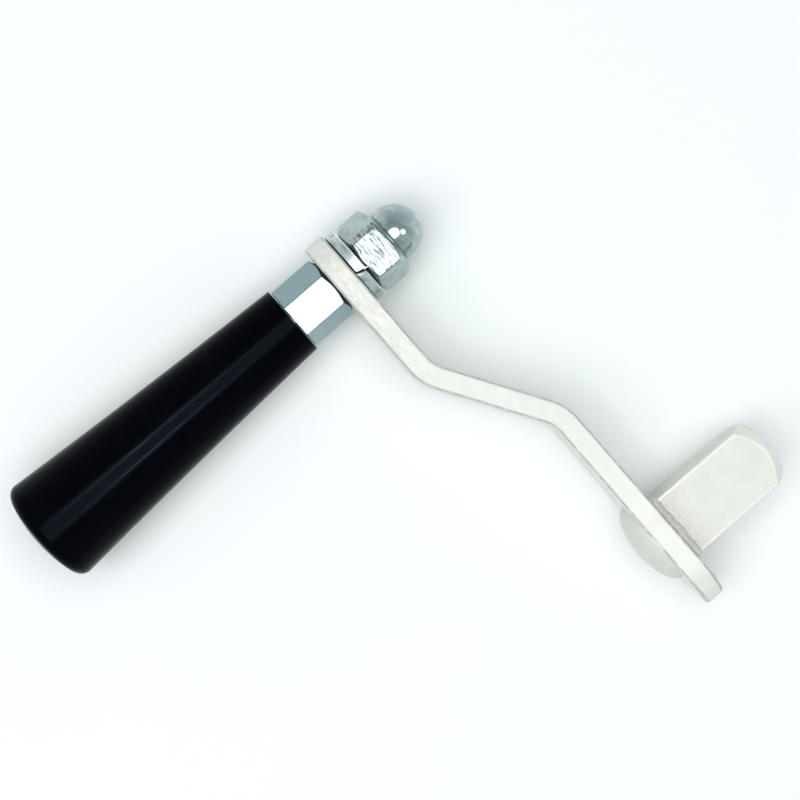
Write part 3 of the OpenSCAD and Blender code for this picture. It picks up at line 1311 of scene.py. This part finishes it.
@dataclass
class HandleBolt:
    """The bolt: threaded end, hexagonal shoulder and the grooved journal of the grip."""

    layout: Layout
    shoulder_mm: float = 12.7
    journal_mm: float = 7.94
    thread_mm: float = 9.38
    thread_root_mm: float = 8.1
    pitch_mm: float = 1.5875
    crest_share: float = 0.12
    groove_mm: float = 6.34
    tip_mm: float = 0.8
    hex_turn: float = -10.0
    face_share: float = 0.92
    edge_mm: float = 0.14
    end_play_mm: float = 0.25
    shoulder_len: float = field(init=False)
    length: float = field(init=False)
    thread_len: float = field(init=False)
    ring: tuple[float, float] = field(init=False)

    def __post_init__(self) -> None:
        """Reads the bolt's lengths and the ring's place from the frame."""
        at = self.layout
        lo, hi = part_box("handle_bolt")
        _, grip_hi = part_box("grip_body")
        ring_lo, ring_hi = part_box("retaining_ring")
        self.length = at.arm_back_y - lo.y
        self.thread_len = hi.y - at.arm_back_y
        self.shoulder_len = at.arm_back_y - grip_hi.y - self.end_play_mm * MM
        self.ring = (at.arm_back_y - ring_hi.y, at.arm_back_y - ring_lo.y)

    def turned(self) -> bmesh.types.BMesh:
        """Everything but the hexagon: ridged thread, journal, groove and chamfers.

        Returns:
            The turned shape along +Z, with the arm's back face at z = 0.
        """
        crest, root = self.thread_mm / 2 * MM, self.thread_root_mm / 2 * MM
        journal, groove = self.journal_mm / 2 * MM, self.groove_mm / 2 * MM
        pitch, tip = self.pitch_mm * MM, self.tip_mm * MM
        outline: Profile = [(0.0, -self.thread_len), (root - tip / 2, -self.thread_len)]
        height = -self.thread_len + tip
        rising = (1 - self.crest_share) / 2 * pitch
        while height < self.shoulder_len / 2 - pitch:
            outline += [(root, height), (crest, height + rising), (crest, height + pitch - rising)]
            height += pitch
        outline += [(root, height), (journal, height), (journal, self.ring[0]), (groove, self.ring[0]),
                    (groove, self.ring[1]), (journal, self.ring[1]), (journal, self.length - tip),
                    (journal - tip, self.length), (0.0, self.length)]
        return lathe(outline, steps=72)

    def build(self) -> bpy.types.Object:
        """Makes the bolt.

        Returns:
            The bolt's object.
        """
        shoulder = chamfered_hex(self.shoulder_mm * MM, self.shoulder_len, self.hex_turn,
                                 self.face_share, far_end=False)
        whole = combine(shoulder, self.turned(), Cut.JOIN)
        return make_piece(whole, "handle_bolt_steel", self.layout.on_grip_axis, self.edge_mm, 2)


@dataclass
class NutStack:
    """The split lock washer and the cap nut."""

    layout: Layout
    hole_mm: float = 9.9
    rise_mm: float = 0.28
    inner_extra_mm: float = 0.1
    split_mm: float = 0.45
    split_turn: float = 15.0
    split_slant: float = 14.0
    washer_steps: int = 96
    edge_mm: float = 0.16
    nut_across_mm: float = 14.9
    hex_h_mm: float = 7.6
    dome_mm: float = 12.3
    hole_in_nut_mm: float = 9.48
    neck_mm: float = 0.25
    neck_h_mm: float = 0.3
    neck_end_mm: float = 0.7
    cap_lap_mm: float = 1.0
    lead_in_mm: float = 0.6
    hole_past_hex_mm: float = 1.5
    drill_point_mm: float = 1.0
    hex_turn: float = 10.0
    face_share: float = 0.92
    washer_r: float = field(init=False)
    washer_t: float = field(init=False)
    nut_h: float = field(init=False)

    def __post_init__(self) -> None:
        """Reads the stack's heights from the frame."""
        lo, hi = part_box("lock_washer")
        _, nut_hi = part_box("cap_nut")
        self.washer_r = (hi.x - lo.x) / 2
        self.washer_t = hi.y - lo.y
        self.nut_h = nut_hi.y - hi.y

    def build_washer(self) -> bpy.types.Object:
        """Makes the washer as one sprung turn, thicker inside, with a slanting split.

        Returns:
            The washer's object.
        """
        inner, outer = self.hole_mm / 2 * MM, self.washer_r
        thick = self.washer_t - self.rise_mm * MM
        thin = thick - self.inner_extra_mm * MM
        lift = self.inner_extra_mm / 2 * MM
        corners = ((inner, 0.0), (outer, lift), (outer, lift + thin), (inner, thick))
        bm = bmesh.new()
        start = Matrix.Rotation(math.radians(self.split_turn - 90), 3, "Z")
        ring = bm.faces.new([bm.verts.new(start @ Vector((r, 0, z))) for r, z in corners])
        bmesh.ops.spin(bm, geom=[ring], cent=(0, 0, 0), axis=(0, 0, 1),
                       dvec=(0, 0, self.rise_mm * MM / self.washer_steps), angle=TURN * 0.9999,
                       steps=self.washer_steps, use_duplicate=False)
        closed(bm)
        half, deep = self.split_mm / 2 * MM, self.washer_t * 2
        gap = box((-half, -2 * outer, -deep), (half, 0.0, deep))
        gap.transform(Matrix.Rotation(math.radians(self.split_turn), 4, "Z")
                      @ Matrix.Translation((0, 0, self.washer_t / 2))
                      @ Matrix.Rotation(math.radians(self.split_slant), 4, "Y"))
        bm = combine(bm, gap, Cut.REMOVE)
        return make_piece(bm, "split_lock_washer", self.layout.on_nut_axis, self.edge_mm)

    def build_nut(self) -> bpy.types.Object:
        """Makes the cap nut.

        Returns:
            The nut's object.
        """
        height = self.nut_h
        dome = self.dome_mm / 2 * MM
        middle = height - dome
        hole = self.hole_in_nut_mm / 2 * MM
        hex_h = self.hex_h_mm * MM
        nut = chamfered_hex(self.nut_across_mm * MM, hex_h, self.hex_turn, self.face_share, far_end=True)
        neck, lap = dome - self.neck_mm * MM, self.cap_lap_mm * MM
        cap = lathe([(0.0, lap), (neck, lap), (neck, hex_h + self.neck_h_mm * MM),
                     (dome, hex_h + self.neck_end_mm * MM), *arc((0.0, middle), dome, 0, 90, 30)[:-1],
                     (0.0, height)], steps=120)
        nut = combine(nut, cap, Cut.JOIN)
        lead_in, point = self.lead_in_mm * MM, self.drill_point_mm * MM
        depth = hex_h + self.hole_past_hex_mm * MM
        drill = lathe([(0.0, -point), (hole + lead_in, -point), (hole + lead_in, 0.0),
                       (hole, lead_in), (hole, depth), (0.0, depth + point)], steps=64)
        nut = combine(nut, drill, Cut.REMOVE)
        nut.transform(Matrix.Translation((0, 0, self.washer_t)))
        return make_piece(nut, "cap_nut_steel", self.layout.on_nut_axis, self.edge_mm)


@dataclass
class Grip:
    """The moulded grip and the plug that closes its large end."""

    layout: Layout
    small_mm: float = 15.9
    flare: float = 0.2
    crown_mm: float = 33.0
    corner_mm: float = 2.2
    bore_mm: float = 8.04
    pocket_mm: float = 14.6
    pocket_depth_mm: float = 13.0
    plug_mm: float = 5.0
    plug_wall_mm: float = 1.8
    edge_mm: float = 0.13
    plug_edge_mm: float = 0.12
    turn_steps: int = 160
    flank_steps: int = 28
    crown_steps: int = 5
    plug_steps: int = 8
    start: float = field(init=False)
    length: float = field(init=False)
    big_r: float = field(init=False)

    def __post_init__(self) -> None:
        """Reads the grip's ends and width from the frame."""
        lo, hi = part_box("grip_body")
        plug_lo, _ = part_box("grip_end_plug")
        self.start = self.layout.arm_back_y - hi.y
        self.length = hi.y - plug_lo.y
        self.big_r = (hi.x - lo.x) / 2

    def crown_height(self, radius: float) -> float:
        """The height of the crowned end at a radius.

        Args:
            radius: the distance from the axis.

        Returns:
            The height above the grip's small end.
        """
        crown = self.crown_mm * MM
        return self.length - crown + math.sqrt(crown * crown - radius * radius)

    def flank(self) -> Profile:
        """The outline from the rounded small end round to the pocket's mouth.

        Returns:
            The corners in order.
        """
        small, corner, crown = self.small_mm / 2 * MM, self.corner_mm * MM, self.crown_mm * MM
        centre_r = self.big_r - corner
        centre_h = self.length - crown + math.sqrt((crown - corner) ** 2 - centre_r ** 2)
        last = math.degrees(math.atan2(centre_h - (self.length - crown), centre_r))
        points = []
        for i in range(self.flank_steps):
            t = i / self.flank_steps
            spread = (1 - self.flare) * t + self.flare * t * t
            points.append((small + (self.big_r - small) * spread, t * centre_h))
        points += arc((centre_r, centre_h), corner, 0, last, 10)
        mouth = self.pocket_mm / 2 * MM
        start_r = centre_r + corner * math.cos(math.radians(last))
        for i in range(1, self.crown_steps + 1):
            radius = start_r + (mouth - start_r) * i / self.crown_steps
            points.append((radius, self.crown_height(radius)))
        return points

    def build_body(self) -> bpy.types.Object:
        """Makes the grip.

        Returns:
            The grip's object.
        """
        bore, mouth = self.bore_mm / 2 * MM, self.pocket_mm / 2 * MM
        floor = self.length - self.pocket_depth_mm * MM
        outline = [(bore, 0.0), *self.flank(), (mouth, floor), (bore, floor)]
        place = self.layout.on_grip_axis @ Matrix.Translation((0, 0, self.start))
        return make_piece(lathe(outline, self.turn_steps), "grip_moulding", place, self.edge_mm)

    def build_plug(self) -> bpy.types.Object:
        """Makes the plug, which carries the crown across the pocket.

        Returns:
            The plug's object.
        """
        outer = self.pocket_mm / 2 * MM
        inner = outer - self.plug_wall_mm * MM
        base = self.length - self.plug_mm * MM
        roof = self.length - self.plug_wall_mm * MM
        radii = [outer * (1 - i / self.plug_steps) for i in range(self.plug_steps)]
        top = [(radius, self.crown_height(radius)) for radius in radii]
        outline = [(inner, base), (outer, base), *top, (0.0, self.length), (0.0, roof), (inner, roof)]
        place = self.layout.on_grip_axis @ Matrix.Translation((0, 0, self.start))
        return make_piece(lathe(outline, self.turn_steps), "grip_plug_moulding", place, self.plug_edge_mm, 2)


# --------------------------------------------------------------------------- the studio


@dataclass
class Lamp:
    """A soft lamp, with its width and length in metres and its power in watts.

    A rectangle without a length is square, and a disc has only its width.
    """

    name: str
    place: Vector
    width: float
    power: float
    length: float = 0.0
    role: Role = Role.MIRRORED
    outline: Outline = Outline.RECTANGLE

    def hang(self, aim: Vector) -> None:
        """Hangs the lamp.

        Args:
            aim: the point that it faces.
        """
        data = bpy.data.lights.new(self.name, "AREA")
        data.shape = self.outline.value
        data.size = self.width
        data.size_y = self.length or self.width
        data.energy = self.power
        lamp = bpy.data.objects.new(self.name, data)
        bpy.context.scene.collection.objects.link(lamp)
        lamp.location = self.place
        lamp.rotation_mode = "QUATERNION"
        lamp.rotation_quaternion = (aim - self.place).to_track_quat("-Z", "Y")
        lamp.visible_glossy = self.role is Role.MIRRORED
        lamp.visible_diffuse = self.role is Role.LIGHTS


@dataclass
class Studio:
    """The camera, the pale surface that the crank lies on and the soft light."""

    view_x: float = -0.05769
    view_y: float = -0.02546
    view_h: float = 0.400
    view_w: float = 0.16912
    roll: float = 49.1
    sensor_mm: float = 36.0
    floor_half: float = 1.5
    floor_drop_mm: float = 0.02
    grip_rim_mm: float = 3.0
    white: Colour = (0.955, 0.985, 0.99)
    off_white: Colour = (0.945, 0.978, 0.985)
    room_colour: Colour = (0.93, 0.985, 1.0)
    room_strength: float = 0.42
    mirror_colour: Colour = (0.9, 0.98, 1.0)
    mirror_heights: tuple[float, float] = (0.05, 0.75)
    mirror_strengths: tuple[float, float] = (0.9, 0.55)

    def camera(self) -> None:
        """Hangs the camera straight above the crank."""
        data = bpy.data.cameras.new("camera")
        data.sensor_width = self.sensor_mm
        data.lens = self.sensor_mm * self.view_h / self.view_w
        camera = bpy.data.objects.new("camera", data)
        bpy.context.scene.collection.objects.link(camera)
        camera.location = (self.view_x, self.view_y, self.view_h)
        camera.rotation_euler = (0, 0, math.radians(self.roll))
        bpy.context.scene.camera = camera

    def floor(self, layout: Layout) -> None:
        """Lays the surface under the grip's large end and the lower front edge of the arm.

        Args:
            layout: the shared places.
        """
        grip_lo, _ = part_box("grip_body")
        arm_lo, arm_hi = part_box("arm")
        rim_y = grip_lo.y + self.grip_rim_mm * MM
        points = (Vector((layout.grip_x, rim_y, grip_lo.z)),
                  Vector((0, arm_hi.y, arm_lo.z)),
                  Vector((arm_hi.x - layout.bar_w / 2, arm_hi.y, arm_lo.z)))
        up = (points[1] - points[0]).cross(points[2] - points[0]).normalized()
        if up.z < 0:
            up.negate()
        side = Vector((1, 0, 0)).cross(up).normalized()
        centre = points[0] - up * self.floor_drop_mm * MM
        place = basis(side.cross(up).normalized() * -1, side * -1, up, centre)
        bm = bmesh.new()
        bmesh.ops.create_grid(bm, x_segments=4, y_segments=4, size=self.floor_half)
        bm.transform(place)
        for face in bm.faces:
            if face.normal.z < 0:
                face.normal_flip()
        mesh = bpy.data.meshes.new("floor")
        bm.to_mesh(mesh)
        bm.free()
        floor = bpy.data.objects.new("floor", mesh)
        bpy.context.scene.collection.objects.link(floor)
        g = Graph("floor_paper")
        tone = g.blend(g.ease(g.grain(60.0), 0.3, 0.7), self.white, self.off_white)
        g.set_shader(Base_Color=tone, Roughness=0.75, Normal=g.bump(g.grain(1.5), 0.02),
                     Specular_IOR_Level=0.2)
        mesh.materials.append(g.material)

    def sky(self) -> None:
        """Fills the room with even pale light, and a dimmer one for mirrors to show."""
        world = bpy.data.worlds.new("room")
        bpy.context.scene.world = world
        world.use_nodes = True
        tree = world.node_tree
        tree.nodes.clear()
        out = tree.nodes.new("ShaderNodeOutputWorld")
        mix = tree.nodes.new("ShaderNodeMixShader")
        path = tree.nodes.new("ShaderNodeLightPath")
        even = tree.nodes.new("ShaderNodeBackground")
        even.inputs["Color"].default_value = (*self.room_colour, 1)
        even.inputs["Strength"].default_value = self.room_strength
        mirror = tree.nodes.new("ShaderNodeBackground")
        where = tree.nodes.new("ShaderNodeTexCoord")
        split = tree.nodes.new("ShaderNodeSeparateXYZ")
        height = tree.nodes.new("ShaderNodeMapRange")
        limits = (*self.mirror_heights, *self.mirror_strengths)
        for socket, number in zip(("From Min", "From Max", "To Min", "To Max"), limits):
            height.inputs[socket].default_value = number
        tree.links.new(where.outputs["Generated"], split.inputs[0])
        tree.links.new(split.outputs["Z"], height.inputs["Value"])
        mirror.inputs["Color"].default_value = (*self.mirror_colour, 1)
        tree.links.new(height.outputs["Result"], mirror.inputs["Strength"])
        tree.links.new(path.outputs["Is Glossy Ray"], mix.inputs["Fac"])
        tree.links.new(even.outputs[0], mix.inputs[1])
        tree.links.new(mirror.outputs[0], mix.inputs[2])
        tree.links.new(mix.outputs[0], out.inputs["Surface"])

    def light(self) -> None:
        """Hangs the overhead lamp, the key at the lower left and the ones that metal mirrors."""
        aim = Vector((self.view_x, self.view_y, 0))
        roll = math.radians(self.roll)
        right = Vector((math.cos(roll), math.sin(roll), 0))
        up = Vector((-math.sin(roll), math.cos(roll), 0))
        key = aim - right * 0.35 - up * 0.25 + Vector((0, 0, 0.6))
        overhead = aim + Vector((0, 0, 0.9))
        Lamp("overhead", overhead, width=0.9, power=4.8, role=Role.LIGHTS).hang(aim)
        Lamp("key", key, width=0.45, power=1.35, role=Role.LIGHTS).hang(aim)
        Lamp("mirrored_lamp", Vector((-0.02, -0.04, 0.7)), width=0.5, power=1.95,
             outline=Outline.DISC).hang(aim)
        for name, x in (("left_strip", -0.186), ("right_strip", 0.146)):
            place = Vector((x, -0.063, 0.7))
            Lamp(name, place, width=0.018, length=0.045, power=0.18).hang(place - Vector((0, 0, 1)))
        Lamp("mirrored_window", Vector((0.243, 0.353, 0.637)), width=0.28, power=0.6,
             outline=Outline.DISC).hang(aim)

    def set_up(self, layout: Layout) -> None:
        """Makes the whole studio.

        Args:
            layout: the shared places.
        """
        self.camera()
        self.floor(layout)
        self.sky()
        self.light()
        view = bpy.context.scene.view_settings
        view.view_transform = "Standard"
        view.look = "None"


def main() -> None:
    """Builds and dresses every sub-assembly, then the studio."""
    logging.basicConfig(level=logging.INFO, format="%(name)s: %(message)s")
    layout = Layout()
    Studio().set_up(layout)

    shank = DriveShank(layout)
    paint = PaintFinish(streaks_from_x=layout.grip_x).material()
    cone_sum = shank.length - shank.chamfer_mm * MM + shank.across / 2
    shank_paint = ShankPaintFinish(half_across=shank.across / 2, cone_sum=cone_sum, head_y=-layout.bar_t)
    weld_paint = ShankPaintFinish("weld_paint_finish", stain_length_mm=12.0, run_depth_mm=0.12)
    stack = NutStack(layout)
    nut_y = layout.arm_front_y + stack.washer_t
    washer_zinc = WasherFinish(arm_y=layout.arm_front_y, nut_y=nut_y).material()
    nut_zinc = NutFinish(hex_y=nut_y, hex_h_mm=stack.hex_h_mm).material()
    smooth_zinc = ZincFinish().material()
    black = PhenolicFinish().material()
    spring = SpringSteelFinish().material()

    grip = Grip(layout)
    dress(ArmBar(layout).build(), paint, Body.CRANK, Slot.PAINT, "arm")
    dress(shank.build(), shank_paint.material(), Body.CRANK, Slot.PAINT, "drive_shank")
    dress(WeldBead(layout, shank).build(), weld_paint.material(), Body.CRANK, Slot.PAINT, "shank_weld")
    dress(HandleBolt(layout).build(), smooth_zinc, Body.CRANK, Slot.ZINC, "handle_bolt")
    dress(stack.build_washer(), washer_zinc, Body.CRANK, Slot.ZINC, "lock_washer")
    dress(stack.build_nut(), nut_zinc, Body.CRANK, Slot.ZINC, "cap_nut")
    dress(grip.build_body(), black, Body.GRIP, Slot.PHENOLIC, "grip_body")
    dress(grip.build_plug(), black, Body.GRIP, Slot.PHENOLIC, "grip_end_plug")
    for node, material in (("thrust_washer", smooth_zinc), ("retaining_ring", spring)):
        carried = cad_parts[node].data
        carried.materials.clear()
        carried.materials.append(material)


if __name__ == "__main__":
    main()
